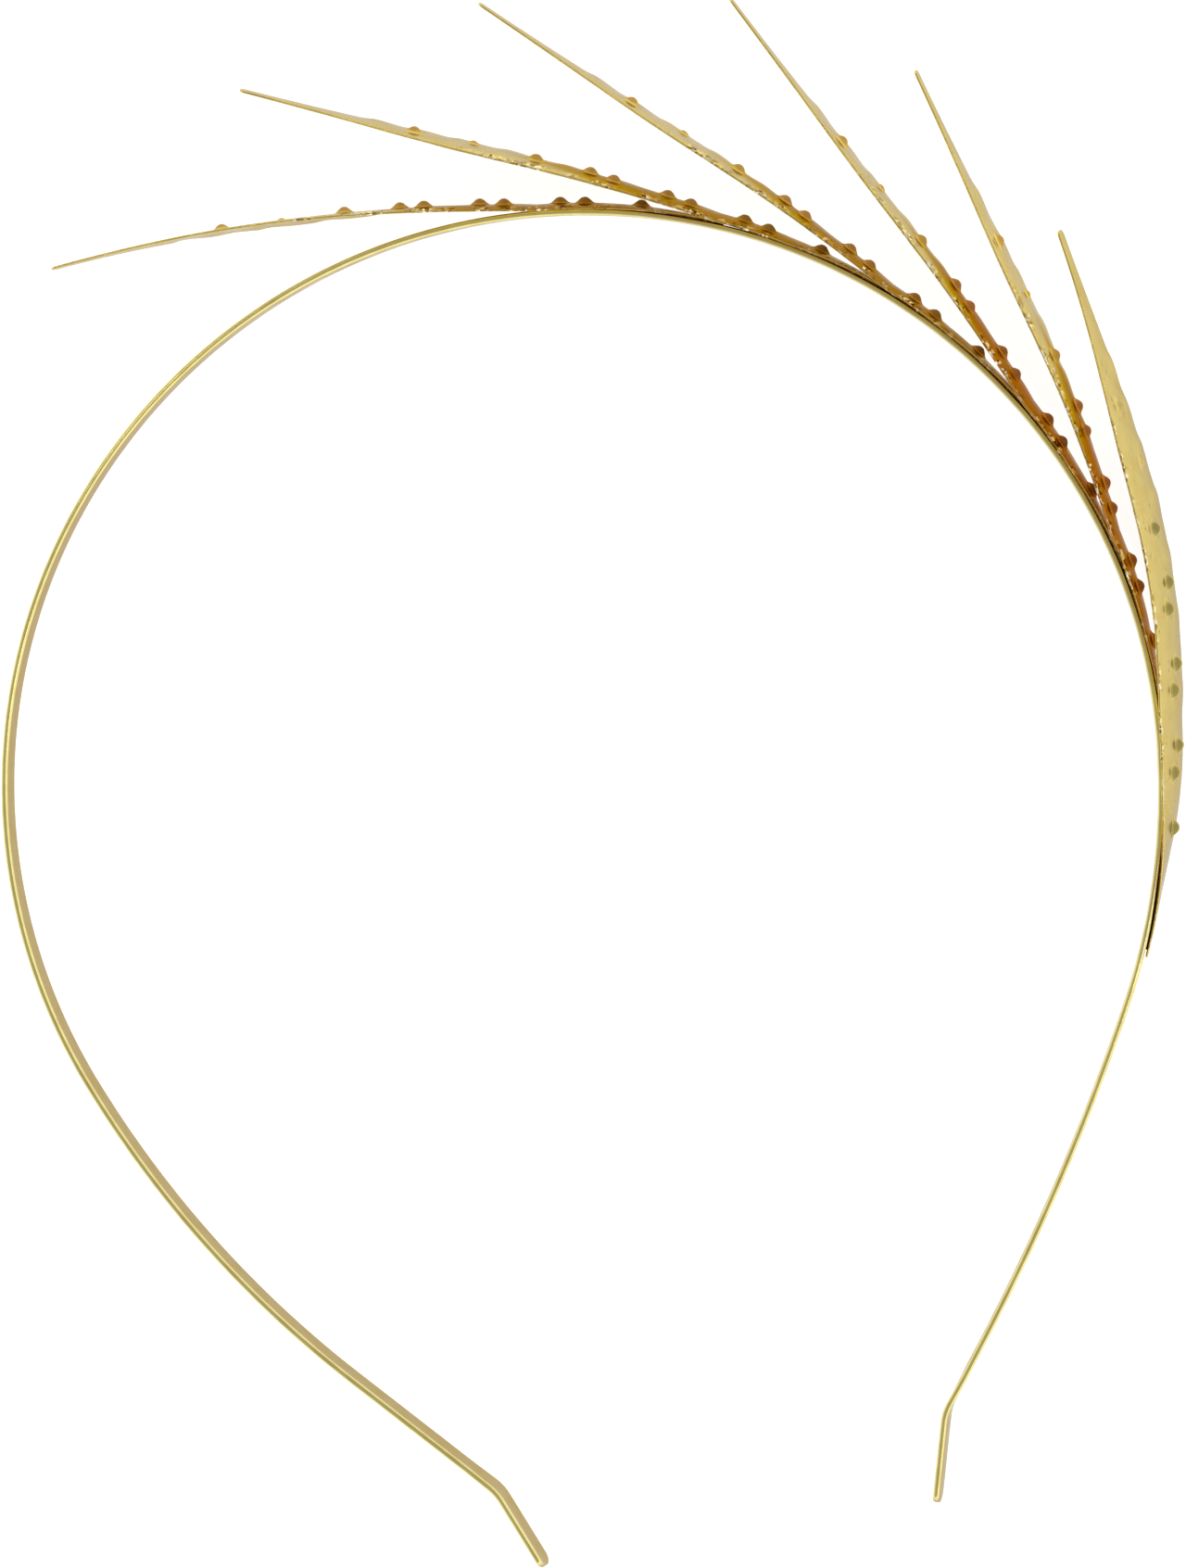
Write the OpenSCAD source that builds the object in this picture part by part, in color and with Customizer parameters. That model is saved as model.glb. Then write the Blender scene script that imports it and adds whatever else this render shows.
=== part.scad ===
// Diadem: a springy flat headband with six leaf-shaped sheet-metal blades.
// The blades overlap like shingles along one side of the band and fan out in
// its plane. Everything is drawn in the band's frame: its mid-plane is z = 0,
// the crown is towards +Y and x = 0 is half-way between the two bends.
// laid() then tips that frame by about a degree onto the diadem's three
// lowest points, because it lies on its side. All lengths are millimetres.

/* [Band] */
// Width of the band's strip
band_w = 4; // [3.6:0.1:4.2]
// Thickness of the band's strip, whose edges are fully round
band_t = 0.68; // [0.6:0.02:0.8]
// Radius of the bend before each end
bend_r = 5.5; // [3:0.5:8]
// Angle by which each end bends outwards
bend_angle = 21; // [10:1:25]
// Length of the left end after its bend
left_end = 8.6; // [7:0.1:12]
// Length of the right end after its bend
right_end = 9.1; // [7:0.1:12]
// Length over which an end's nose rounds off
nose_len = 1.1; // [0.6:0.1:2]

/* [Blades] */
// Length of a blade along its path, tip to root
blade_len = 79; // [76:0.5:80]
// Length of the root that is seated on the band
seat_len = 25.5; // [24:0.5:27]
// Widest part of a blade
blade_w = 7.8; // [7:0.1:8]
// Distance from the tip at which a blade reaches its full width
shoulder_at = 32.5; // [28:1:36]
// Distance from the tip at which it starts to narrow towards the root
waist_at = 45.5; // [42:1:48]
// Width at the pointed tip
tip_w = 1.4; // [1:0.1:1.6]
// Width at the root
root_w = 2.6; // [2.4:0.1:3]
// Thickness of the blade's sheet
sheet_t = 0.26; // [0.24:0.01:0.3]
// Height of the arch across the widest part
arch_h = 0.3; // [0.2:0.05:0.4]

/* [Root strips] */
// Width of the strip soldered under each blade's root
strip_w = 3.2; // [2:0.1:3.4]
// Thickness of that strip where the seat starts
strip_t = 0.22; // [0.18:0.01:0.26]
// Its thickness at the blade's root
strip_root_t = 0.08; // [0.06:0.01:0.12]
// Gap between pieces that lie on each other
seam = 0.08; // [0.06:0.01:0.12]

/* [Bumps] */
// Radius of a bump at its foot
bump_r = 1.1; // [0.9:0.05:1.2]
// Height of a bump over the sheet
bump_h = 0.6; // [0.5:0.05:0.8]
// Pitch of the bumps along a row
bump_pitch = 8.67; // [8.4:0.01:8.8]
// Bumps in each of the two rows
bump_count = 4; // [3:1:4]
// Distance of each row from the blade's midline
row_offsets = [0.1, -1.1]; // [-1.5:0.1:1.5]
// Distance of each row's first bump from the tip
row_starts = [33, 38.9]; // [30:0.1:40]

/* [Hidden] */

// The band's crown, where its left and right sides begin
APEX = [-1.35, 135.5];
// Stretches of each side from the crown down: length, and turn towards the head
LENGTH = 0;
TURN = 1;
BEND = [bend_r * bend_angle * PI / 180, -bend_angle];
LEFT_SIDE = [[55, 49.6], [65.3, 60.7], [43.4, 21.4], [19.1, 0], BEND, [left_end, 0]];
RIGHT_SIDE = [[29.9, 26.6], [75, 70.4], [28.3, 22.2], [38.9, 8.6], [8.3, 0], BEND, [right_end, 0]];

// How each blade is set: where its seat starts, as a distance along the band
// from the crown, how far it leans outwards from there, how far the inner and
// the outer half of its free part bow, and its twist, which turns its face up,
// on the seat and at the tip, and how far its bumps sit from their usual places
SEAT_AT = 0;
LEAN = 1;
BOW = 2;
CURL = 3;
SEAT_TWIST = 4;
TIP_TWIST = 5;
BUMP_SHIFT = 6;
BLADES = [
    [7.4, 5.5, 8.2, 7.8, 4.4, -2.8, -0.3],
    [26.8, 6.2, 6.3, -2, 5.9, 8.6, 0],
    [46.4, 8.4, 7.6, -2.3, 3.6, 6.2, 0.1],
    [65.5, 8.7, 6.7, -2, 5.5, 5.5, -0.2],
    [81.8, 9.3, 10.4, -1.6, 5, 9.1, 0.6],
    [102.1, 7.5, 18, 2.6, 17.2, 18.8, 0.2],
];

// Two lone bumps nearer the tip: distance from the tip, row and size
LONE_BUMPS = [[19.5, 0, 0.9], [25.9, 1, 0.5]];
// Bell outline of a bump: share of its radius, share of its height
BELL = [[1, 0], [0.62, 0.3], [0.36, 0.68], [0.2, 0.93], [0, 1]];

// Twist of each end of the band, which turns its lower edge outwards
LEFT_TWIST = -2.5;
RIGHT_TWIST = 5;
TWIST_RUN = 6;     // length over which that twist comes in
BLADE_STEP = 2.5;  // distance between the sections of a blade
BAND_STEP = 4;     // distance between the sections of the band
ACROSS = 4;        // flat facets across a blade's face
FINE = 48;         // facets around a bump
BED = 0.08;        // how deep a strip reaches into the sheet
CLIMB_RUN = 6.4;   // length over which a blade climbs onto the root before it
ROOT_TRIM = 4.6;   // length cut off a root that ends under the next blade
STRIP_SHARE = 0.7; // widest that a strip is, as a share of the sheet on it
STRIP_SHY = 0.5;   // how far a strip ends before the root that it comes up to
TIP_FLAT = 18;     // length at the tip over which the twist no longer grows
HALF_FREE = (blade_len - seat_len) / 2;
LEFT_LEN = total(LEFT_SIDE);
RIGHT_LEN = total(RIGHT_SIDE);

function total(rows, i = 0) = i == len(rows) ? 0 : rows[i][LENGTH] + total(rows, i + 1);
function smooth(x) = let (t = max(0, min(1, x))) t * t * (3 - 2 * t);
function spread(lo, hi, n) = [for (i = [0 : n]) lo + (hi - lo) * i / n];

// Point and direction after an arc that starts at p in direction dir and turns left
function arc(p, dir, length, turn) =
    let (
        half = turn / 2,
        chord = half == 0 ? length : length * sin(half) / (half * PI / 180)
    )
    [p + chord * [cos(dir + half), sin(dir + half)], dir + turn];
// The same at a distance d down a side of the band, which turns right
function side_pose(rows, d, i = 0, p = APEX, dir = 0) =
    let (length = rows[i][LENGTH], turn = -rows[i][TURN])
    d <= length || i == len(rows) - 1
        ? arc(p, dir, d, turn * d / length)
        : let (e = arc(p, dir, length, turn)) side_pose(rows, d - length, i + 1, e[0], e[1]);
// Unit vector out of the band, to the left of its direction
function outward(dir) = [-sin(dir), cos(dir)];
function band_twist(d) = d < 0
    ? LEFT_TWIST * smooth((left_end + TWIST_RUN - LEFT_LEN - d) / TWIST_RUN)
    : RIGHT_TWIST * smooth((right_end + TWIST_RUN - RIGHT_LEN + d) / TWIST_RUN);
// A point of the band: d from the crown, positive to the right, a across, n outwards
function band_point(d, a, n) =
    let (
        pose = side_pose(d < 0 ? LEFT_SIDE : RIGHT_SIDE, abs(d)),
        t = band_twist(d),
        at = pose[0] + (n * cos(t) - a * sin(t)) * outward(pose[1])
    )
    [d < 0 ? 2 * APEX.x - at.x : at.x, at.y, a * cos(t) + n * sin(t)];

// Thickness of a root strip at a distance u from the root
function strip_at(u) = strip_root_t + (strip_t - strip_root_t) * u / seat_len;
// Half its width, which stays within the sheet's own
function strip_half(u) = min(strip_w, STRIP_SHARE * leaf_w(blade_len - u)) / 2;
// How far a blade's sheet stands off the face under it, so that neither the
// twisted strip nor the sheet itself touches the band's corner
function stand(k, u) =
    let (slope = tan(max(0, twist(k, u))), corner = band_w / 2 - band_t / 4)
    seam + max(strip_at(u) + strip_half(u) * slope, corner * slope - arch(corner));
// How far below the seat of the blade before the seat of blade k lies
function pitch(k) = BLADES[k][SEAT_AT] - BLADES[k - 1][SEAT_AT];
// Length cut off the root of blade k: only the last one shows its whole root
function trim(k) = k == len(BLADES) - 1 ? 0 : ROOT_TRIM;
// Distance from the root of blade k at which the root before it ends
function foot(k) = k == 0 ? seat_len : min(seat_len, pitch(k) + ROOT_TRIM);
// Height of the root before blade k over the band, with the room that blade k
// needs because its twist differs from that root's
function step(k) =
    let (turn = twist(k, foot(k)) - twist(k - 1, ROOT_TRIM))
    strip_at(ROOT_TRIM) + sheet_t + 2 * seam + tan(max(0, turn)) * leaf_w(blade_len - ROOT_TRIM) / 2;
// Slope of blade k as it climbs onto the root of the blade before
function climb(k) = k == 0 ? 0 : max(0, step(k) - stand(k, foot(k))) / CLIMB_RUN;
// How far blade k has climbed at a distance u from its root
function lift(k, u) = k == 0 ? 0 : climb(k) * max(0, u - foot(k) + CLIMB_RUN);
// Plan position and direction, towards the tip, at a distance u from the root
function seat_pose(k, u) =
    let (
        b = side_pose(RIGHT_SIDE, BLADES[k][SEAT_AT] + seat_len - u),
        rise = (band_t + sheet_t) / 2 + stand(k, u) + lift(k, u)
    )
    [b[0] + rise * outward(b[1]), 180 + b[1]];
function path(k, u) =
    u <= seat_len ? seat_pose(k, u) :
    let (
        row = BLADES[k],
        start = seat_pose(k, seat_len),
        near = min(u - seat_len, HALF_FREE),
        far = u - seat_len - near,
        bend = arc(start[0], start[1] - row[LEAN], near, row[BOW] * near / HALF_FREE)
    )
    arc(bend[0], bend[1], far, row[CURL] * far / HALF_FREE);
// The root lies flat on the band. The seat's twist comes in along the seat and
// the tip's along the free part.
function twist(k, u) =
    let (seat = BLADES[k][SEAT_TWIST], tip = BLADES[k][TIP_TWIST])
    seat * smooth((u - 3) / (seat_len - 8))
        + (tip - seat) * smooth((u - seat_len) / (blade_len - seat_len - TIP_FLAT));

// Rounded end: share of the full width at a distance d from the end
function end_round(d, r) = d >= r ? 1 : sqrt(max(0.04, 1 - pow(1 - d / r, 2)));
// Full width of a blade at a distance s from its tip
function leaf_w(s) = s < waist_at
    ? tip_w + (blade_w - tip_w) * pow(sin(min(90, 90 * s / shoulder_at)), 2)
    : root_w + (blade_w - root_w) * cos(90 * (s - waist_at) / (blade_len - waist_at));
function sheet_w(k, u) =
    leaf_w(blade_len - u) * end_round(u - trim(k), root_w / 2) * end_round(blade_len - u, tip_w / 2);
// Height of the arched sheet at a distance a from its midline, below its crown
function arch(a) = -arch_h * pow(2 * a / blade_w, 2);

// A point of blade k: u from the root, a from the midline, n out of the sheet
function blade_point(k, u, a, n) =
    let (
        at = path(k, u),
        t = twist(k, u)
    )
    [each at[0] - (n * cos(t) - a * sin(t)) * outward(at[1]), a * cos(t) + n * sin(t)];

// The highest point of a bump
function bump_peak(k, s, row, size) =
    let (u = blade_len - s - BLADES[k][BUMP_SHIFT], a = row_offsets[row])
    blade_point(k, u, a, arch(a) + sheet_t / 2 + size * bump_h);
// A point of a blade's lower rim
function lower_rim(k, u) =
    let (w = sheet_w(k, u)) blade_point(k, u, -w / 2, arch(w / 2) - sheet_t / 2);

// Distances from the root of a blade's sections, tip first: close together at
// its rounded ends and BLADE_STEP apart between them
function blade_stations(k) =
    let (
        root = root_w / 2,
        tip = tip_w / 2,
        cut = trim(k),
        n = ceil((blade_len - cut - root - tip) / BLADE_STEP)
    )
    concat(
        [blade_len, blade_len - tip / 4],
        spread(blade_len - tip, cut + root, n),
        [cut + root / 4, cut]
    );

// One closed skin through rings of equal length. Each ring runs up one side
// and down the other, so that its points i and m - 1 - i face each other, and
// it runs clockwise as seen from the ring after it.
module skin(rings) {
    m = len(rings[0]);
    last = (len(rings) - 1) * m;
    sides = [for (i = [0 : len(rings) - 2], j = [0 : m - 1])
        let (a = i * m + j, b = i * m + (j + 1) % m)
        each [[a, b, b + m], [a, b + m, a + m]]];
    caps = [for (j = [0 : m / 2 - 2])
        let (a = j, b = j + 1, c = m - 2 - j, d = m - 1 - j)
        each [[a, d, c], [a, c, b], [last + a, last + b, last + c], [last + a, last + c, last + d]]];
    polyhedron([for (ring = rings) each ring], concat(sides, caps), convexity = 6);
}

module leaf(k) {
    skin([for (u = blade_stations(k))
        let (w = sheet_w(k, u), row = spread(-w / 2, w / 2, ACROSS))
        concat(
            [for (a = row) blade_point(k, u, a, arch(a) - sheet_t / 2)],
            [for (i = [ACROSS : -1 : 0]) blade_point(k, u, row[i], arch(row[i]) + sheet_t / 2)]
        )]);
}

module root_strip(k) {
    high = -sheet_t / 2 + BED;
    skin([for (u = spread(foot(k) - STRIP_SHY, trim(k) + root_w / 3, 10))
        let (low = -sheet_t / 2 - strip_at(u), half = strip_half(u))
        [for (c = [[-half, low], [half, low], [half, high], [-half, high]])
            blade_point(k, u, c[0], c[1])]]);
}

// A bell-shaped bump standing on the outer face, its foot half-way into the sheet
module bump(k, s, row, size) {
    u = blade_len - s - BLADES[k][BUMP_SHIFT];
    a = row_offsets[row];
    slope = atan(8 * arch_h * a / pow(blade_w, 2));
    bell = [for (p = BELL) [p[0] * bump_r, p[1] * bump_h] * size];
    translate(blade_point(k, u, a, arch(a) + sheet_t / 2))
        rotate([0, 0, path(k, u)[1]])
            rotate([90 - twist(k, u) + slope, 0, 0])
                rotate_extrude($fn = FINE)
                    polygon(concat([[0, -sheet_t / 2], [bell[0].x, -sheet_t / 2]], bell));
}

module blade(k) {
    color("goldenrod") {
        leaf(k);
        root_strip(k);
        for (row = [0, 1], i = [0 : bump_count - 1])
            bump(k, row_starts[row] + i * bump_pitch, row, 1);
        for (b = LONE_BUMPS)
            bump(k, b[0], b[1], b[2]);
    }
}

// Section of the band: a flat strip with round edges, up its inner face and
// down its outer one, as distances across and outwards
function band_section(w) =
    let (
        r = band_t / 2,
        edge = [for (t = [15 : 30 : 75]) [r * sin(t), r * cos(t)]],
        up = concat(
            [for (i = [2 : -1 : 0]) [r - w / 2 - edge[i][0], -edge[i][1]]],
            [for (e = edge) [w / 2 - r + e[0], -e[1]]]
        )
    )
    concat(up, [for (i = [len(up) - 1 : -1 : 0]) [up[i][0], -up[i][1]]]);

// Distances from an end, and the share of the width there, of its round nose
NOSE = [for (t = [16, 30, 50, 70]) [nose_len * (1 - cos(t)), sin(t)]];

module headband() {
    n = ceil((LEFT_LEN + RIGHT_LEN) / BAND_STEP);
    sections = concat(
        [for (e = NOSE) [e[0] - LEFT_LEN, e[1]]],
        [for (d = spread(nose_len - LEFT_LEN, RIGHT_LEN - nose_len, n)) [d, 1]],
        [for (i = [len(NOSE) - 1 : -1 : 0]) [RIGHT_LEN - NOSE[i][0], NOSE[i][1]]]
    );
    color("gold")
        skin([for (s = sections)
            [for (c = band_section(band_w * s[1])) band_point(s[0], c[0], c[1])]]);
}

// The three points that it lies on: the lower rims of the first and the last
// blade and the band's left end, as distances from the root and the crown
RESTS = [lower_rim(0, 45.7), band_point(nose_len - LEFT_LEN, -band_w / 2, 0), lower_rim(5, 31)];
// The direction that is up once it lies on them
NORMAL = cross(RESTS[1] - RESTS[0], RESTS[2] - RESTS[0]);
UP = NORMAL / norm(NORMAL);
function tipped(p) =
    let (lean = (UP.x * p.x + UP.y * p.y) / (1 + UP.z))
    [p.x - UP.x * (lean + p.z), p.y - UP.y * (lean + p.z), UP * p];
// Points that reach its box, once it is tipped
REACH = concat(
    [for (k = [0 : len(BLADES) - 1], u = blade_stations(k), n = [-1, 1] * sheet_t / 2)
        let (w = sheet_w(k, u))
        each [for (a = [-w / 2, w / 2]) tipped(blade_point(k, u, a, arch(a) + n))]],
    [for (k = [0, len(BLADES) - 1], row = [0, 1], i = [0 : bump_count - 1])
        tipped(bump_peak(k, row_starts[row] + i * bump_pitch, row, 1))],
    [for (d = [-LEFT_LEN : 1 : RIGHT_LEN], n = [-1, 1] * band_t / 2) tipped(band_point(d, 0, n))]
);
X = [for (p = REACH) p.x];
Y = [for (p = REACH) p.y];
FLOOR = min([for (p = REACH) p.z]);
// Lays the diadem down with the origin under the middle of its box
module laid()
    translate([-(min(X) + max(X)) / 2, -(min(Y) + max(Y)) / 2, -FLOOR])
        rotate(a = acos(UP.z), v = cross(UP, [0, 0, 1]))
            children();

laid() headband();
laid() blade(0);  // blade_1
laid() blade(1);  // blade_2
laid() blade(2);  // blade_3
laid() blade(3);  // blade_4
laid() blade(4);  // blade_5
laid() blade(5);  // blade_6
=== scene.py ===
"""A gold-tone diadem: a springy flat headband with six leaf-shaped sheet-metal
blades. It lies on its side on a pale surface and is seen almost from above."""
import math

import bpy
from mathutils import Matrix, Vector, noise


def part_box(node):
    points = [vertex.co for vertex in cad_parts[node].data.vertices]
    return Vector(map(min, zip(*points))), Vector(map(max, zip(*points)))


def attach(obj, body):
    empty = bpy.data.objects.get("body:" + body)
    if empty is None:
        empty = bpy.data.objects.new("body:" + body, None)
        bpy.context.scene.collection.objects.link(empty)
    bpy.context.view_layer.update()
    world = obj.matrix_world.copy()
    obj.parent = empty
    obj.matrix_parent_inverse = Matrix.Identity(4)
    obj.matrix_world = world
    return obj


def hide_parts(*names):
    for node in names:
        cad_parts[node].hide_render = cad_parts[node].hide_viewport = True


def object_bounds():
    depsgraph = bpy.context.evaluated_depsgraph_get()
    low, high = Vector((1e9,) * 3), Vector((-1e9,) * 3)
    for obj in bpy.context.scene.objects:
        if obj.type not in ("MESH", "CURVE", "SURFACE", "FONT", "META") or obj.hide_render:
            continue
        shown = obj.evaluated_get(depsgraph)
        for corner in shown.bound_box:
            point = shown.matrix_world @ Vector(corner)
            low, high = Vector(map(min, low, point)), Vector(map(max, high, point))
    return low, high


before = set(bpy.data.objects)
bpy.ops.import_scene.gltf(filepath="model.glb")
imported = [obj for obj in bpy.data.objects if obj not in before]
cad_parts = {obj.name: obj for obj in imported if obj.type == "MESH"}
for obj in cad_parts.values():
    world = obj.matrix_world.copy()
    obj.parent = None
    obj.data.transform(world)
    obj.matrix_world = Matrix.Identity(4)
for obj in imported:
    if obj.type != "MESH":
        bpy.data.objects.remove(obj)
cad_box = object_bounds()

MM = 0.001

# The band: its strip, its ends and the stretches of its two sides, in millimetres
BAND_W = 4.0
BAND_T = 0.68
BEND_R = 5.5
BEND_ANGLE = 21.0
LEFT_END = 8.6
RIGHT_END = 9.1
NOSE_LEN = 1.1
LEFT_TWIST = -2.5
RIGHT_TWIST = 5.0
TWIST_RUN = 6.0
APEX = (-1.35, 135.5)
BEND = (math.radians(BEND_ANGLE) * BEND_R, -BEND_ANGLE)
LEFT_SIDE = [(55, 49.6), (65.3, 60.7), (43.4, 21.4), (19.1, 0), BEND, (LEFT_END, 0)]
RIGHT_SIDE = [(29.9, 26.6), (75, 70.4), (28.3, 22.2), (38.9, 8.6), (8.3, 0), BEND, (RIGHT_END, 0)]

# The blades: leaf outline, sheet and root
BLADE_LEN = 79.0
SEAT_LEN = 25.5
BLADE_W = 7.8
SHOULDER_AT = 32.5
WAIST_AT = 45.5
TIP_W = 1.4
ROOT_W = 2.6
SHEET_T = 0.26
ARCH_H = 0.3
STRIP_W = 3.2
STRIP_SHARE = 0.7
STRIP_T = 0.22
STRIP_ROOT_T = 0.08
SEAM = 0.08
CLIMB_RUN = 6.4
ROOT_TRIM = 4.6
STRIP_SHY = 0.5
TIP_FLAT = 18.0
HALF_FREE = (BLADE_LEN - SEAT_LEN) / 2

# The bumps: radius and height, and for each its distance from the tip, its
# distance from the midline and its size
BUMP_R = 1.15
BUMP_H = 0.66
BUMP_PITCH = 8.67
BUMPS = [(33.0 + i * BUMP_PITCH, 0.1, 1.0) for i in range(4)]
BUMPS += [(38.9 + i * BUMP_PITCH, -1.1, 1.0) for i in range(4)]
BUMPS += [(19.5, 0.1, 0.9), (25.9, -1.1, 0.5)]

# How each blade is set: where its seat starts, lean, bow, curl, twist on the seat
# and at the tip, shift of its bumps, and how far its face is painted warmer towards the root, a painted
# reflection of the gold around it
SEAT_AT, LEAN, BOW, CURL, SEAT_TWIST, TIP_TWIST, BUMP_SHIFT, WARM_REFLECTION = range(8)
BLADES = [
    (7.4, 5.5, 8.2, 7.8, 4.4, -2.8, -0.3, 0.6),
    (26.8, 6.2, 6.3, -2.0, 5.9, 8.6, 0.0, 0.6),
    (46.4, 8.4, 7.6, -2.3, 3.6, 6.2, 0.1, 0.68),
    (65.5, 8.7, 6.7, -2.0, 5.5, 5.5, -0.2, 0.85),
    (81.8, 9.3, 10.4, -1.6, 5.0, 9.1, 0.6, 0.85),
    (102.1, 7.5, 18.0, 2.6, 17.2, 18.8, 0.2, 0.0),
]

# The camera in the band's own frame, worked out from the photo
CAMERA_AT = Vector((78.895, 108.861, 600.0))
CAMERA_UP = Vector((0.184, 0.98, -0.081))
LOOK_AT = Vector((0.118, 73.867, 0.0))
FOCAL_PX = 6061.6
PHOTO_LONG_SIDE = 1692
SENSOR = 36.0


def spaced(start, stop, count):
    return [start + (stop - start) * i / (count - 1) for i in range(count)]


def smooth(x):
    t = min(1.0, max(0.0, x))
    return t * t * (3 - 2 * t)


def total(rows):
    return sum(length for length, _ in rows)


LEFT_LEN = total(LEFT_SIDE)
RIGHT_LEN = total(RIGHT_SIDE)


def heading(angle):
    return Vector((math.cos(math.radians(angle)), math.sin(math.radians(angle))))


def outward(angle):
    return Vector((-math.sin(math.radians(angle)), math.cos(math.radians(angle))))


def arc(p, angle, length, turn):
    """Point and direction after an arc that starts at p and turns left."""
    half = math.radians(turn / 2)
    chord = length if abs(half) < 1e-9 else length * math.sin(half) / half
    return p + chord * heading(angle + turn / 2), angle + turn


def side_pose(rows, d):
    """Point and direction at a distance d from the crown down a side of the band."""
    p, angle = Vector(APEX), 0.0
    for length, turn in rows[:-1]:
        if d <= length:
            return arc(p, angle, d, -turn * d / length)
        p, angle = arc(p, angle, length, -turn)
        d -= length
    return arc(p, angle, d, 0)


def band_twist(d):
    if d < 0:
        return LEFT_TWIST * smooth((LEFT_END + TWIST_RUN - LEFT_LEN - d) / TWIST_RUN)
    return RIGHT_TWIST * smooth((RIGHT_END + TWIST_RUN - RIGHT_LEN + d) / TWIST_RUN)


def band_point(d, across, out):
    """A point of the band: d from the crown, positive to the right."""
    p, angle = side_pose(LEFT_SIDE if d < 0 else RIGHT_SIDE, abs(d))
    t = math.radians(band_twist(d))
    p = p + (out * math.cos(t) - across * math.sin(t)) * outward(angle)
    x = 2 * APEX[0] - p.x if d < 0 else p.x
    return Vector((x, p.y, across * math.cos(t) + out * math.sin(t)))


def arch(a):
    return -ARCH_H * (2 * a / BLADE_W) ** 2


def leaf_w(s):
    """Full width of a blade at a distance s from its tip."""
    if s < WAIST_AT:
        rise = math.sin(math.pi / 2 * min(1.0, s / SHOULDER_AT))
        return TIP_W + (BLADE_W - TIP_W) * rise * rise
    fall = math.cos(math.pi / 2 * (s - WAIST_AT) / (BLADE_LEN - WAIST_AT))
    return ROOT_W + (BLADE_W - ROOT_W) * fall


def end_round(d, r):
    return 1.0 if d >= r else math.sqrt(max(0.002, 1 - (1 - d / r) ** 2))


def trim(k):
    return 0.0 if k == len(BLADES) - 1 else ROOT_TRIM


def sheet_w(k, u):
    return leaf_w(BLADE_LEN - u) * end_round(u - trim(k), ROOT_W / 2) * end_round(BLADE_LEN - u, TIP_W / 2)


def strip_at(u):
    return STRIP_ROOT_T + (STRIP_T - STRIP_ROOT_T) * u / SEAT_LEN


def twist(k, u):
    seat, tip = BLADES[k][SEAT_TWIST], BLADES[k][TIP_TWIST]
    free = (u - SEAT_LEN) / (BLADE_LEN - SEAT_LEN - TIP_FLAT)
    return seat * smooth((u - 3) / (SEAT_LEN - 8)) + (tip - seat) * smooth(free)


def strip_half(u):
    return min(STRIP_W, STRIP_SHARE * leaf_w(BLADE_LEN - u)) / 2


def stand(k, u):
    """How far a blade's sheet stands off the face under it."""
    slope = math.tan(math.radians(max(0.0, twist(k, u))))
    corner = BAND_W / 2 - BAND_T / 4
    return SEAM + max(strip_at(u) + strip_half(u) * slope, corner * slope - arch(corner))


def pitch(k):
    return BLADES[k][SEAT_AT] - BLADES[k - 1][SEAT_AT]


def foot(k):
    """Distance from the root of blade k at which the root before it ends."""
    return SEAT_LEN if k == 0 else min(SEAT_LEN, pitch(k) + ROOT_TRIM)


def climb(k):
    """Slope of blade k as it climbs onto the root before it."""
    if k == 0:
        return 0.0
    turn = max(0.0, twist(k, foot(k)) - twist(k - 1, ROOT_TRIM))
    room = math.tan(math.radians(turn)) * leaf_w(BLADE_LEN - ROOT_TRIM) / 2
    step = strip_at(ROOT_TRIM) + SHEET_T + 2 * SEAM + room
    return max(0.0, step - stand(k, foot(k))) / CLIMB_RUN


def path(k, u):
    """Plan position and direction, towards the tip, at a distance u from the root."""
    row = BLADES[k]
    near_u = min(u, SEAT_LEN)
    p, angle = side_pose(RIGHT_SIDE, row[SEAT_AT] + SEAT_LEN - near_u)
    lift = climb(k) * max(0.0, near_u - foot(k) + CLIMB_RUN)
    p = p + ((BAND_T + SHEET_T) / 2 + stand(k, near_u) + lift) * outward(angle)
    angle += 180
    if u <= SEAT_LEN:
        return p, angle
    near = min(u - SEAT_LEN, HALF_FREE)
    far = u - SEAT_LEN - near
    p, angle = arc(p, angle - row[LEAN], near, row[BOW] * near / HALF_FREE)
    return arc(p, angle, far, row[CURL] * far / HALF_FREE)


def blade_frame(k, u):
    """Origin, direction across the sheet and direction out of it, at u from the root."""
    p, angle = path(k, u)
    t = math.radians(twist(k, u))
    out = -outward(angle)
    across = Vector((-math.sin(t) * out.x, -math.sin(t) * out.y, math.cos(t)))
    normal = Vector((math.cos(t) * out.x, math.cos(t) * out.y, math.sin(t)))
    return Vector((p.x, p.y, 0.0)), across, normal


def blade_point(k, u, a, n):
    p, across, normal = blade_frame(k, u)
    return p + a * across + n * normal


def lower_rim(k, u):
    w = sheet_w(k, u)
    return blade_point(k, u, -w / 2, arch(w / 2) - SHEET_T / 2)


# The first and the last blade touch the surface at these distances from their roots,
# and the band touches it at its left nose. These three points say which way is up.
FIRST_REST, LAST_REST = 45.7, 31.0
RESTS = [
    lower_rim(0, FIRST_REST),
    band_point(NOSE_LEN - LEFT_LEN, -BAND_W / 2, 0),
    lower_rim(len(BLADES) - 1, LAST_REST),
]
UP = (RESTS[1] - RESTS[0]).cross(RESTS[2] - RESTS[0]).normalized()
TIP_OVER = UP.rotation_difference(Vector((0, 0, 1))).to_matrix()


def band_reach():
    """Lowest corner of the band's box once it is tipped over, in millimetres."""
    points = [
        TIP_OVER @ band_point(d, across, out)
        for d in spaced(-LEFT_LEN, RIGHT_LEN, 800)
        for across, out in ((0, BAND_T / 2), (0, -BAND_T / 2), (-BAND_W / 2, 0))
    ]
    return Vector([min(p[i] for p in points) for i in range(3)])


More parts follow.
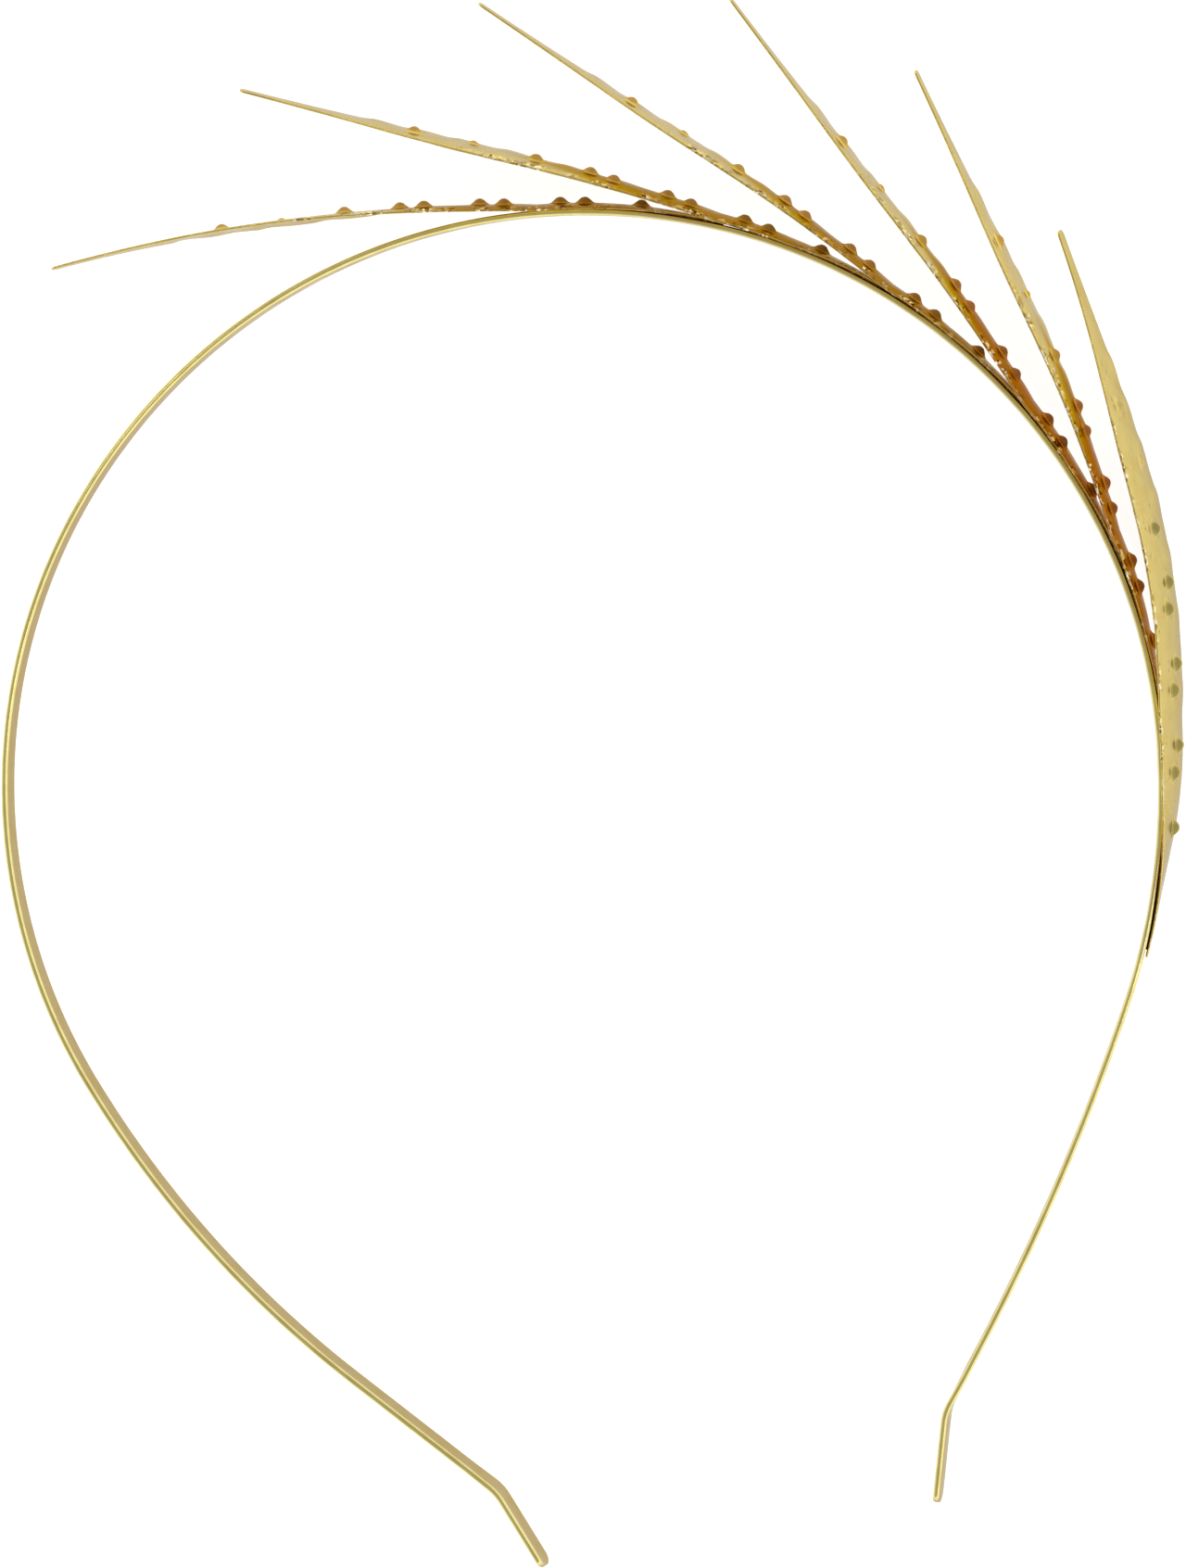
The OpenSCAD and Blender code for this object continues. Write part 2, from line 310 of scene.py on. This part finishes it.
CAD_BAND_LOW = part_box("headband")[0] / MM
SHIFT = CAD_BAND_LOW - band_reach()


def laid(p):
    """A point of the band's own frame, in millimetres, as it lies, in metres."""
    return (TIP_OVER @ p + SHIFT) * MM


def new_mesh(name, points, faces, materials, indices=None, sharp=50):
    """A smooth piece that is sharp where its faces meet at more than sharp degrees."""
    mesh = bpy.data.meshes.new(name)
    mesh.from_pydata([tuple(p) for p in points], [], faces)
    for material in materials:
        mesh.materials.append(material)
    if indices is not None:
        mesh.polygons.foreach_set("material_index", indices)
    mesh.polygons.foreach_set("use_smooth", [True] * len(mesh.polygons))
    mesh.set_sharp_from_angle(angle=math.radians(sharp))
    mesh.update()
    piece = bpy.data.objects.new(name, mesh)
    bpy.context.scene.collection.objects.link(piece)
    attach(piece, "root")
    return piece


def sweep_faces(rings, size):
    """Quads between closed rings of equal size, with a cap at each end."""
    faces = []
    for i in range(rings - 1):
        for j in range(size):
            a, b = i * size + j, i * size + (j + 1) % size
            faces.append((a, a + size, b + size, b))
    faces.append(tuple(range(size)))
    faces.append(tuple(reversed(range((rings - 1) * size, rings * size))))
    return faces


def node_tree(name):
    material = bpy.data.materials.new(name)
    material.use_nodes = True
    tree = material.node_tree
    return material, tree, tree.nodes["Principled BSDF"]


def noise_node(tree, coords, scale, detail=3.0):
    node = tree.nodes.new("ShaderNodeTexNoise")
    node.inputs["Scale"].default_value = scale
    node.inputs["Detail"].default_value = detail
    tree.links.new(coords, node.inputs["Vector"])
    return node.outputs["Fac"]


def map_range(tree, value, low, high, out_low, out_high):
    node = tree.nodes.new("ShaderNodeMapRange")
    for name, number in zip(("From Min", "From Max", "To Min", "To Max"), (low, high, out_low, out_high)):
        node.inputs[name].default_value = number
    tree.links.new(value, node.inputs["Value"])
    return node.outputs["Result"]


def ramp_node(tree, value, stops):
    node = tree.nodes.new("ShaderNodeValToRGB")
    elements = node.color_ramp.elements
    while len(elements) < len(stops):
        elements.new(0.5)
    for element, (place, colour) in zip(elements, stops):
        element.position = place
        element.color = (*colour, 1.0)
    tree.links.new(value, node.inputs["Fac"])
    return node.outputs["Color"]


def mix_colour(tree, factor, a, b, mode="MIX"):
    node = tree.nodes.new("ShaderNodeMix")
    node.data_type = "RGBA"
    node.blend_type = mode
    tree.links.new(factor, node.inputs["Factor"])
    for socket, colour in ((node.inputs[6], a), (node.inputs[7], b)):
        if isinstance(colour, tuple):
            socket.default_value = (*colour, 1.0)
        else:
            tree.links.new(colour, socket)
    return node.outputs[2]


def bump_node(tree, height, strength, distance, normal=None):
    node = tree.nodes.new("ShaderNodeBump")
    node.inputs["Strength"].default_value = strength
    node.inputs["Distance"].default_value = distance
    tree.links.new(height, node.inputs["Height"])
    if normal is not None:
        tree.links.new(normal, node.inputs["Normal"])
    return node.outputs["Normal"]


def object_coords(tree):
    return tree.nodes.new("ShaderNodeTexCoord").outputs["Object"]


def attribute(tree, name):
    node = tree.nodes.new("ShaderNodeAttribute")
    node.attribute_name = name
    return node.outputs["Fac"]


def math_node(tree, operation, a, b):
    node = tree.nodes.new("ShaderNodeMath")
    node.operation = operation
    tree.links.new(a, node.inputs[0])
    tree.links.new(b, node.inputs[1])
    return node.outputs["Value"]


def vector_math(tree, operation, a, b=None, scale=None):
    node = tree.nodes.new("ShaderNodeVectorMath")
    node.operation = operation
    tree.links.new(a, node.inputs[0])
    if isinstance(b, tuple):
        node.inputs[1].default_value = b
    elif b is not None:
        tree.links.new(b, node.inputs[1])
    if scale is not None:
        tree.links.new(scale, node.inputs["Scale"])
    return node.outputs["Value" if operation == "DOT_PRODUCT" else "Vector"]


def glitter(tree, coords, size, stretch, grit):
    """Small facets, size of them to the metre, tilted by chance as far as grit says.
    Gives the facets' chance values and the tilted normal."""
    place = tree.nodes.new("ShaderNodeMapping")
    place.inputs["Scale"].default_value = (size, size, size * stretch)
    tree.links.new(coords, place.inputs["Vector"])
    cells = tree.nodes.new("ShaderNodeTexVoronoi")
    cells.inputs["Scale"].default_value = 1.0
    tree.links.new(place.outputs["Vector"], cells.inputs["Vector"])
    tilt = vector_math(tree, "SUBTRACT", cells.outputs["Color"], (0.5, 0.5, 0.5))
    tilt = vector_math(tree, "SCALE", tilt, scale=map_range(tree, grit, 0.0, 1.0, 0.0, FACET_TILT))
    normal = tree.nodes.new("ShaderNodeNewGeometry").outputs["Normal"]
    normal = vector_math(tree, "NORMALIZE", vector_math(tree, "ADD", tilt, normal))
    split = tree.nodes.new("ShaderNodeSeparateColor")
    tree.links.new(cells.outputs["Color"], split.inputs["Color"])
    return split.outputs["Red"], normal


# What varies the gold: soft clouds and wear, as spots to the metre, and broken facets, coloured with
# painted dark facets and painted glints
CLOUDS, WEAR = 450.0, 350.0
CLOUD_COLOUR = (0.5, 0.34, 0.05)
CLOUD_SHARE = 0.3
PAINTED_DARK_FACET = (0.50, 0.40, 0.25)
PAINTED_GLINT = (1.0, 0.91, 0.64)
FACET_TILT = 0.7

# How much dirt adds to the roughness, and what a bump has of roughness and of metal
DIRT_ROUGH = 0.7
BUMP_ROUGH = 0.45
BUMP_METAL = 0.3


def gold(name, stops, tints, rough, seam, cells=None):
    """A polished gold whose colour follows its tone through two ramps: stops are its
    colour seen squarely and tints its colour at a glancing angle. Seam is the tone at
    which it is clean and the one at which it is matt with dirt. Cells, as facets to
    the metre and their stretch, tilt its facets where it sparkles and give them painted
    dark facets and painted glints. Its bumps are duller."""
    material, tree, shader = node_tree(name)
    coords = object_coords(tree)
    value = attribute(tree, "tone")
    cloud = map_range(tree, noise_node(tree, coords, CLOUDS, 4.0), 0.4, 0.75, 0.0, CLOUD_SHARE)
    colours = [mix_colour(tree, cloud, ramp_node(tree, value, stops), CLOUD_COLOUR)]
    colours.append(ramp_node(tree, value, tints))
    normal = None
    if cells:
        grit = attribute(tree, "sparkle")
        chance, normal = glitter(tree, coords, *cells, grit)
        # Painted dark facets and painted glints, where the sparkle breaks the surface
        dark_facet_share = math_node(tree, "MULTIPLY", grit, map_range(tree, chance, 0.16, 0.22, 1.0, 0.0))
        glint_share = math_node(tree, "MULTIPLY", grit, map_range(tree, chance, 0.76, 0.82, 0.0, 1.0))
        colours = [mix_colour(tree, dark_facet_share, c, PAINTED_DARK_FACET, "MULTIPLY") for c in colours]
        colours = [mix_colour(tree, glint_share, c, PAINTED_GLINT) for c in colours]
    for colour, socket in zip(colours, ("Base Color", "Specular Tint")):
        tree.links.new(colour, shader.inputs[socket])
    wear = map_range(tree, noise_node(tree, coords, WEAR), 0.3, 0.7, *rough)
    dirt = map_range(tree, value, *seam, 0.0, DIRT_ROUGH)
    relief = attribute(tree, "relief")
    blur = map_range(tree, relief, 0.0, 1.0, 0.0, BUMP_ROUGH)
    dull = math_node(tree, "ADD", math_node(tree, "ADD", wear, dirt), blur)
    tree.links.new(dull, shader.inputs["Roughness"])
    tree.links.new(map_range(tree, relief, 0.0, 1.0, 1.0, BUMP_METAL), shader.inputs["Metallic"])
    return material, tree, shader, coords, normal


# The blades' colour by tone: olive painted shade for bump flanks, straw, pale gold, and the gold, amber and
# red-brown of the painted warm reflection towards the seats, and the painted shadow of a seam, seen
# squarely and at a glancing angle
OLIVE_FLANK_SHADE, STRAW, PALE, GOLDEN, AMBER, BROWN, SEAM_SHADOW = 0.0, 0.12, 0.28, 0.45, 0.65, 0.82, 1.0
TONES = [
    (OLIVE_FLANK_SHADE, (0.35, 0.29, 0.09)),
    (STRAW, (0.68, 0.54, 0.18)),
    (PALE, (0.80, 0.63, 0.18)),
    (GOLDEN, (0.70, 0.47, 0.09)),
    (AMBER, (0.60, 0.35, 0.09)),
    (BROWN, (0.62, 0.25, 0.08)),
    (SEAM_SHADOW, (0.10, 0.05, 0.01)),
]
GLANCES = [
    (OLIVE_FLANK_SHADE, (0.34, 0.33, 0.22)),
    (STRAW, (0.58, 0.57, 0.6)),
    (PALE, (0.6, 0.58, 0.6)),
    (GOLDEN, (0.53, 0.42, 0.2)),
    (AMBER, (0.44, 0.32, 0.16)),
    (BROWN, (0.46, 0.25, 0.11)),
    (SEAM_SHADOW, (0.10, 0.05, 0.01)),
]

# Tones at which a blade is clean and matt with dirt
CLEAN_TO_DARK = (BROWN + 0.04, SEAM_SHADOW)


def gold_face():
    """Polished sheet, pale at the tips, with a painted warm reflection that turns it brown towards the
    seats.
    """
    made = gold("blade_gold", TONES, GLANCES, (0.14, 0.3), CLEAN_TO_DARK, (2600.0, 0.15))
    material, tree, shader, coords, worn = made
    fine = bump_node(tree, noise_node(tree, coords, 1500.0, 2.0), 0.1, 0.0002, worn)
    pits = map_range(tree, noise_node(tree, coords, 1100.0, 1.0), 0.66, 0.78, 0.0, -1.0)
    tree.links.new(bump_node(tree, pits, 0.35, 0.0002, fine), shader.inputs["Normal"])
    return material


def gold_cut():
    """Cut edge of the sheet: plain at the tip, rough further down, with tilted facets, painted glints and
    painted dark facets.
    """
    made = gold("cut_edge_gold", TONES, GLANCES, (0.1, 0.3), CLEAN_TO_DARK, (2800.0, 1.0))
    material, tree, shader, coords, broken = made
    grain = bump_node(tree, noise_node(tree, coords, 900.0, 2.0), 0.08, 0.0004, broken)
    tree.links.new(grain, shader.inputs["Normal"])
    return material


# Tone of the band's flat faces, painted darker than its pale edges as painted shade, and lighter than the
# painted shadow of its seam
BAND_FLAT_SHADE = 0.6


def gold_band():
    """Smooth polished strip: pale edges, flat faces darkened with painted shade, and painted shadow in the
    seams.
    """
    stops = [(0.0, (0.10, 0.05, 0.01)), (BAND_FLAT_SHADE, (0.60, 0.52, 0.34)), (1.0, (0.87, 0.76, 0.30))]
    tints = [(0.0, (0.06, 0.03, 0.008)), (BAND_FLAT_SHADE, (0.58, 0.50, 0.36)), (1.0, (0.80, 0.77, 0.66))]
    material, tree, shader, coords, _ = gold("band_gold", stops, tints, (0.1, 0.22), (0.5 * BAND_FLAT_SHADE, 0.0))
    fine = bump_node(tree, noise_node(tree, coords, 900.0, 3.0), 0.06, 0.0002)
    tree.links.new(fine, shader.inputs["Normal"])
    return material


def pale_floor():
    material, tree, shader = node_tree("pale_surface")
    grain = noise_node(tree, object_coords(tree), 40.0)
    shade = mix_colour(tree, grain, (0.44, 0.44, 0.44), (0.47, 0.47, 0.47))
    tree.links.new(shade, shader.inputs["Base Color"])
    shader.inputs["Roughness"].default_value = 0.9
    shader.inputs["Emission Color"].default_value = (1.0, 1.0, 1.0, 1.0)
    shader.inputs["Emission Strength"].default_value = 0.88
    return material


FACE, CUT, BAND = gold_face(), gold_cut(), gold_band()

# The painted shadow of the dark gaps, beside the blades and at the last root: where
# each starts and ends and how long it takes to darken and to fade. A share of this
# painted shadow also lies on the band's inner face and edges
BLADE_SEAM = (14.0, 98.0, 8.0, 8.0)
ROOT_SEAM = (111.0, 128.5, 7.0, 1.5)
LIGHT_GAP_SHADE = 0.12

# How finely the band is drawn, in millimetres, steps and radians
BAND_STEP = 0.6
EDGE_STEPS = 12
NOSE_STEPS = 12
NOSE_START = 0.08


def band_ring(w):
    """Section of the strip, as distances across and outwards, for a width w."""
    r = min(BAND_T / 2, w / 2)
    side = [(r - w / 2 - r * math.sin(t), r * math.cos(t)) for t in spaced(math.pi, 0, EDGE_STEPS)]
    other = [(-a, -n) for a, n in side]
    flat = [(f * (w / 2 - r), r) for f in (-0.5, 0.0, 0.5)]
    back = [(-a, -n) for a, n in flat]
    return side + flat + other + back


def seam_share(d, seam):
    """How much painted shadow a seam gap has at a distance d from the crown."""
    start, end, rise, fall = seam
    return smooth((d - start) / rise) * smooth((end - d) / fall)


def seam_at(d):
    return max(seam_share(d, BLADE_SEAM), seam_share(d, ROOT_SEAM))


# Painted shade: the flat faces are darker than the edges, and the outer face takes the seam's painted
# shadow, with a light share of it everywhere
def band_tone(d, across, out):
    r = BAND_T / 2
    edge = smooth((abs(across) - BAND_W / 2 + r) / (0.5 * r))
    gap_shade = max(LIGHT_GAP_SHADE, smooth((out / r - 0.9) / 0.09))
    return (BAND_FLAT_SHADE + (1 - BAND_FLAT_SHADE) * edge) * (1 - seam_at(d) * gap_shade)


def set_values(piece, name, values):
    layer = piece.data.attributes.new(name, "FLOAT", "POINT")
    layer.data.foreach_set("value", values)


def make_band():
    turn = spaced(NOSE_START, math.pi / 2, NOSE_STEPS)
    round_end = [(NOSE_LEN * (1 - math.cos(t)), math.sin(t)) for t in turn]
    count = int((LEFT_LEN + RIGHT_LEN) / BAND_STEP)
    places = [(e - LEFT_LEN, share) for e, share in round_end]
    places += [(d, 1.0) for d in spaced(NOSE_LEN - LEFT_LEN, RIGHT_LEN - NOSE_LEN, count)[1:-1]]
    places += [(RIGHT_LEN - e, share) for e, share in reversed(round_end)]
    points, shaded_tones = [], []
    for d, share in places:
        ring = band_ring(BAND_W * share)
        points += [laid(band_point(d, across, out)) for across, out in ring]
        shaded_tones += [band_tone(d, across, out) for across, out in ring]
    size = len(band_ring(BAND_W))
    faces = [tuple(reversed(f)) for f in sweep_faces(len(places), size)]
    piece = new_mesh("headband_strip", points, faces, [BAND])
    set_values(piece, "tone", shaded_tones)
    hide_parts("headband")


# How finely a blade is drawn: sections, points across its face and round its rims
# and ends
STATION = 0.3
ACROSS = 34
RIM_STEPS = 5
TURN_STEPS = 9
TURN_START = 0.05

# Its rims: how round they are, in half thicknesses, how ragged, in millimetres, and
# how much paler the near one is painted beside the seam, a painted highlight
RIM_OUT = 0.6
RIM_JAG = 0.07
RIM_SHINE = 0.3
FAR_RIM_GRIT = 0.2
SLOW_RIPPLE, QUICK_RIPPLE = 0.07, 0.04

# The painted shadow of the gap behind it: how far it reaches across the inner face and
# where it starts on the near rim, in radians round it, each with the run over which it fades
INNER_GAP_SHADE, INNER_FADE = 2.4, 0.6
RIM_GAP_SHADE, RIM_FADE = 1.4, 0.6

# Its painted warm reflection: where it starts, its run, and how much later it starts at the rims
WARM_REFLECTION_FROM, WARM_REFLECTION_RUN, RIM_LAG = 26, 14, 2.4

# The tone that a bump has at least, and what it adds to a darker face
BUMP_TONE = 0.6
BUMP_SHADE = 0.08

# The painted shade on the near flanks of the last blade's bumps: where it starts, and
# how far to each side a bump's height is read to find its near flank
FLANK_SHADE_FROM, FLANK = 29, 0.3

# The sparkle, tilted facets with painted glints and painted dark facets: where it starts, its run, and how
# far it reaches from the near rim
SPARKLE = (22, 8, 1.8)
LAST_SPARKLE = (20, 2, 0.5)
SPARKLE_FADES_AT = 56

# The strip under a root: how deep it is sunk in the sheet, and its solder in the
# band, its bevel, its sections, and the tone and sparkle of its sides
STRIP_SUNK = 0.04
SOLDER_SUNK = 0.02
STRIP_BEVEL = 0.05
STRIP_STATIONS = 60
STRIP_TONE = 0.9
STRIP_SPARKLE = 0.8

# Swells of a blade's far rim: distance from the tip, height, and how far each
# runs out towards the tip and towards the root. Each is shifted a little by chance,
# and they fade out towards the midline
SWELL_SHIFT = 0.8
SWELL_FADE = 2.4
SWELLS = [
    (14.6, 0.16, 1.6, 3.0),
    (20.0, 0.12, 2.2, 3.0),
    (24.2, 0.13, 1.4, 3.2),
    (30.0, 0.14, 1.6, 3.0),
    (36.0, 0.10, 1.6, 2.6),
    (42.6, 0.08, 2.0, 2.6),
    (51.0, 0.08, 2.0, 3.0),
]


def blade_stations(k):
    """Distances from the root, tip first, close together at the round ends."""
    tip, root, cut = TIP_W / 2, ROOT_W / 2, trim(k)
    turn = spaced(TURN_START, math.pi / 2, TURN_STEPS)
    head = [BLADE_LEN - tip * (1 - math.cos(t)) for t in turn]
    tail = [cut + root * (1 - math.cos(t)) for t in reversed(turn)]
    count = int((head[-1] - tail[0]) / STATION)
    return head + spaced(head[-1], tail[0], count)[1:-1] + tail


def bump_height(k, s, a):
    """Height of the bumps at s from the tip and a from the midline."""
    height = 0.0
    for place, offset, size in BUMPS:
        along = s - place - BLADES[k][BUMP_SHIFT]
        if abs(along) < BUMP_R:
            r = math.hypot(along, a - offset) / (BUMP_R * math.sqrt(size))
            height = max(height, BUMP_H * size * smooth(1.15 * (1 - r)))
    return height


def swell(k, s, a):
    """Low unevenness of the sheet, strongest along the far rim."""
    height = 0.0
    for i, (place, rise, before, after) in enumerate(SWELLS):
        place += SWELL_SHIFT * noise.noise(Vector((3.1 * i, 2.7 * k, 0.5)))
        d = s - place
        height += rise * smooth(1 - abs(d) / (before if d < 0 else after))
    return height * smooth(-a / SWELL_FADE)


def ripple(k, s, side):
    """Slight unevenness of a blade's cut outline, in millimetres."""
    slow = noise.noise(Vector((s * 0.35, 7.0 * k, 3.0 * side)))
    quick = noise.noise(Vector((s * 2.2, 5.0 * k, 9.0 * side)))
    return SLOW_RIPPLE * slow + QUICK_RIPPLE * quick


def tone(k, s, a, bump):
    """Place in the ramp of tones: a painted warm reflection towards the seat, later along the
    rims, and warmer on bumps. On the last blade only the near flanks of bumps get painted shade."""
    reflection = BLADES[k][WARM_REFLECTION]
    if reflection == 0:
        fall = (bump_height(k, s, a - FLANK) - bump_height(k, s, a + FLANK)) / BUMP_H
        return STRAW + (OLIVE_FLANK_SHADE - STRAW) * smooth(3.2 * fall - 0.4) * smooth((s - FLANK_SHADE_FROM) / 2)
    value = PALE + (BROWN - PALE) * reflection * smooth((s - WARM_REFLECTION_FROM - RIM_LAG * abs(a)) / WARM_REFLECTION_RUN)
    return value + bump * max(BUMP_TONE - value, BUMP_SHADE)


def seat_gap_shade(k, s):
    """How much painted shadow of the gap behind it a blade's inner face has, which shows as the dark line
    along the band.
    """
    along = s - BLADE_LEN + SEAT_LEN
    return seam_at(BLADES[k][SEAT_AT] + along) * smooth(along / 2)


def gap_shaded(value, share):
    """A tone with its share of painted gap shadow."""
    return value + (SEAM_SHADOW - value) * share


def sparkle(k, s, a, w):
    """How broken the surface is, which also paints glints and dark facets on it: smooth at the tip, uneven
    along the near rim.
    """
    start, run, reach = LAST_SPARKLE if k == len(BLADES) - 1 else SPARKLE
    patch = smooth(0.6 + 2.2 * noise.noise(Vector((s * 0.4, 11.0 * k, 0.0))))
    near = smooth((a - w / 2 + reach) / (0.8 * reach))
    return smooth((s - start) / run) * (1 - 0.7 * smooth((s - SPARKLE_FADES_AT) / 8)) * patch * near


def blade_ring(k, u):
    """One section of a blade: its outer face, far rim, inner face and near rim."""
    s = BLADE_LEN - u
    w = sheet_w(k, u)
    fade = min(1.0, w / 3)
    half = SHEET_T / 2
    low = -w / 2 + fade * (RIM_OUT * half + abs(ripple(k, s, 0)))
    high = w / 2 - fade * (RIM_OUT * half - ripple(k, s, 1))
    grit = sparkle(k, s, w / 2, w)
    gap_shade = seat_gap_shade(k, s)
    outer, inner, rims = [], [], []
    for a in spaced(low, high, ACROSS):
        lift = fade * swell(k, s, a)
        height = bump_height(k, s, a)
        bump = smooth(2 * height / BUMP_H)
        crown = arch(a) + lift + half + height
        outer.append((a, crown, tone(k, s, a, bump), sparkle(k, s, a, w), bump))
        # The inner face is pale gold, with the painted shadow of the gap near the band
        shade = gap_shaded(PALE, gap_shade * smooth((INNER_GAP_SHADE - a) / INNER_FADE))
        inner.append((a, arch(a) + lift - half, shade, 0.0, 0.0))
    for edge, sign in ((high, 1), (low, -1)):
        middle = arch(edge) + fade * swell(k, s, edge)
        rim = []
        for i, t in enumerate(spaced(0, math.pi, RIM_STEPS + 2)[1:-1]):
            jag = 0.0
            if sign > 0:
                jag = RIM_JAG * grit * noise.noise(Vector((s * 3.0, 4.0 * i, 5.0 * k)))
            out = RIM_OUT * half * math.sin(t) + jag
            rough = grit if sign > 0 else FAR_RIM_GRIT * grit
            shade = tone(k, s, edge, 0)
            if sign > 0:
                # Painted highlight: the near rim is never darker than pale gold, and paler still beside the
                # seam
                shade = max(PALE, shade - RIM_SHINE * gap_shade)
                # Its inner half takes the painted shadow of the gap
                shade = gap_shaded(shade, gap_shade * smooth((t - RIM_GAP_SHADE) / RIM_FADE))
            rim.append((edge + sign * out, middle + half * math.cos(t), shade, rough, 0.0))
        rims.append(rim)
    return outer + rims[0] + inner[::-1] + rims[1][::-1]


def make_leaf(k):
    stations = blade_stations(k)
    points, values = [], []
    for u in stations:
        p, across, normal = blade_frame(k, u)
        for a, n, *shades in blade_ring(k, u):
            points.append(laid(p + a * across + n * normal))
            values.append(shades)
    size = 2 * (ACROSS + RIM_STEPS)
    faces = sweep_faces(len(stations), size)
    rim = [ACROSS - 1 <= j % (ACROSS + RIM_STEPS) for j in range(size)]
    indices = [int(rim[i % size]) for i in range(len(faces) - 2)] + [1, 1]
    piece = new_mesh(f"blade_{k + 1}_leaf", points, faces, [FACE, CUT], indices)
    for name, column in zip(("tone", "sparkle", "relief"), zip(*values)):
        set_values(piece, name, column)
    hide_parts(f"blade_{k + 1}")


def make_strip(k):
    """The thin strip under the root of blade k, with the solder that joins it to the band."""
    top = -SHEET_T / 2 + STRIP_SUNK
    rings, shaded_tones, grit = [], [], []
    for u in spaced(foot(k) - STRIP_SHY, trim(k) + ROOT_W / 3, STRIP_STATIONS):
        half = strip_half(u)
        slope = math.tan(math.radians(max(0.0, twist(k, u))))
        low = -SHEET_T / 2 - stand(k, u) + half * slope - SOLDER_SUNK
        side = low + STRIP_BEVEL
        ring = [(-half, top), (-half, side), (STRIP_BEVEL - half, low), (0, low)]
        ring += [(half - STRIP_BEVEL, low), (half, side), (half, top), (0, top)]
        p, across, normal = blade_frame(k, u)
        rings.append([laid(p + a * across + n * normal) for a, n in ring])
        gap_shade = seam_share(BLADES[k][SEAT_AT] + SEAT_LEN - u, ROOT_SEAM)
        # The strip's bottom is painted with the seam's shadow and its sides with the gap's painted shadow
        shaded_tones += [SEAM_SHADOW if n == low else gap_shaded(STRIP_TONE, gap_shade) for _, n in ring]
        grit += [STRIP_SPARKLE * (1 - gap_shade)] * len(ring)
    points = [p for ring in rings for p in ring]
    name = f"blade_{k + 1}_root_strip"
    faces = sweep_faces(len(rings), len(rings[0]))
    piece = new_mesh(name, points, faces, [CUT], sharp=30)
    set_values(piece, "tone", shaded_tones)
    set_values(piece, "sparkle", grit)


# The surface that it lies on: half its width, and how far under the part it is
FLOOR_HALF = 3.0
FLOOR_DROP = 0.00002

# The soft window's direction and white
WINDOW_FACING = (0.77, -0.64, 0.0)
WINDOW_WHITE = (1.35, 1.35, 1.31)


def make_floor():
    mesh = bpy.data.meshes.new("floor")
    half = FLOOR_HALF
    corners = [(-half, -half, 0), (half, -half, 0), (half, half, 0), (-half, half, 0)]
    mesh.from_pydata(corners, [], [(0, 1, 2, 3)])
    mesh.materials.append(pale_floor())
    floor = bpy.data.objects.new("floor", mesh)
    floor.location.z = cad_box[0].z - FLOOR_DROP
    bpy.context.scene.collection.objects.link(floor)


def area_light(name, place, size, watts):
    light = bpy.data.lights.new(name, "AREA")
    light.shape = "RECTANGLE"
    light.size, light.size_y = size
    light.energy = watts
    lamp = bpy.data.objects.new(name, light)
    lamp.location = place
    lamp.rotation_euler = (-Vector(place)).to_track_quat("-Z", "Y").to_euler()
    bpy.context.scene.collection.objects.link(lamp)


def make_lights():
    """A white room that is dimmer overhead, a broad soft window and two small lamps."""
    world = bpy.data.worlds.new("studio")
    world.use_nodes = True
    tree = world.node_tree
    background = tree.nodes["Background"]
    direction = tree.nodes.new("ShaderNodeTexCoord").outputs["Generated"]
    height = tree.nodes.new("ShaderNodeSeparateXYZ")
    tree.links.new(direction, height.inputs["Vector"])
    room = ramp_node(tree, height.outputs["Z"], [
        (0.0, (0.95, 0.95, 0.95)),
        (0.35, (0.85, 0.85, 0.85)),
        (0.6, (0.46, 0.46, 0.46)),
        (1.0, (0.44, 0.44, 0.44)),
    ])
    low = map_range(tree, height.outputs["Z"], 0.2, 0.32, 0.0, 1.0)
    high = map_range(tree, height.outputs["Z"], 0.62, 0.74, 1.0, 0.0)
    facing = vector_math(tree, "DOT_PRODUCT", direction, WINDOW_FACING)
    aside = map_range(tree, facing, 0.15, 0.55, 0.0, 1.0)
    window = math_node(tree, "MULTIPLY", aside, math_node(tree, "MULTIPLY", low, high))
    tree.links.new(mix_colour(tree, window, room, WINDOW_WHITE), background.inputs["Color"])
    bpy.context.scene.world = world
    area_light("lamp_1", (0.35, -0.25, 0.6), (0.1, 0.1), 0.12)
    area_light("lamp_2", (-0.3, 0.2, 0.7), (0.1, 0.1), 0.12)
    bpy.context.scene.view_settings.view_transform = "Standard"


def make_camera():
    data = bpy.data.cameras.new("camera")
    data.sensor_width = SENSOR
    data.lens = FOCAL_PX * SENSOR / PHOTO_LONG_SIDE
    data.clip_start, data.clip_end = 0.05, 20.0
    back = (TIP_OVER @ (CAMERA_AT - LOOK_AT)).normalized()
    up = TIP_OVER @ CAMERA_UP
    right = up.cross(back).normalized()
    turn = Matrix((right, back.cross(right), back)).transposed()
    camera = bpy.data.objects.new("camera", data)
    camera.matrix_world = Matrix.Translation(laid(CAMERA_AT)) @ turn.to_4x4()
    bpy.context.scene.collection.objects.link(camera)
    bpy.context.scene.camera = camera


make_camera()
make_band()
for k in range(len(BLADES)):
    make_leaf(k)
    make_strip(k)
make_floor()
make_lights()
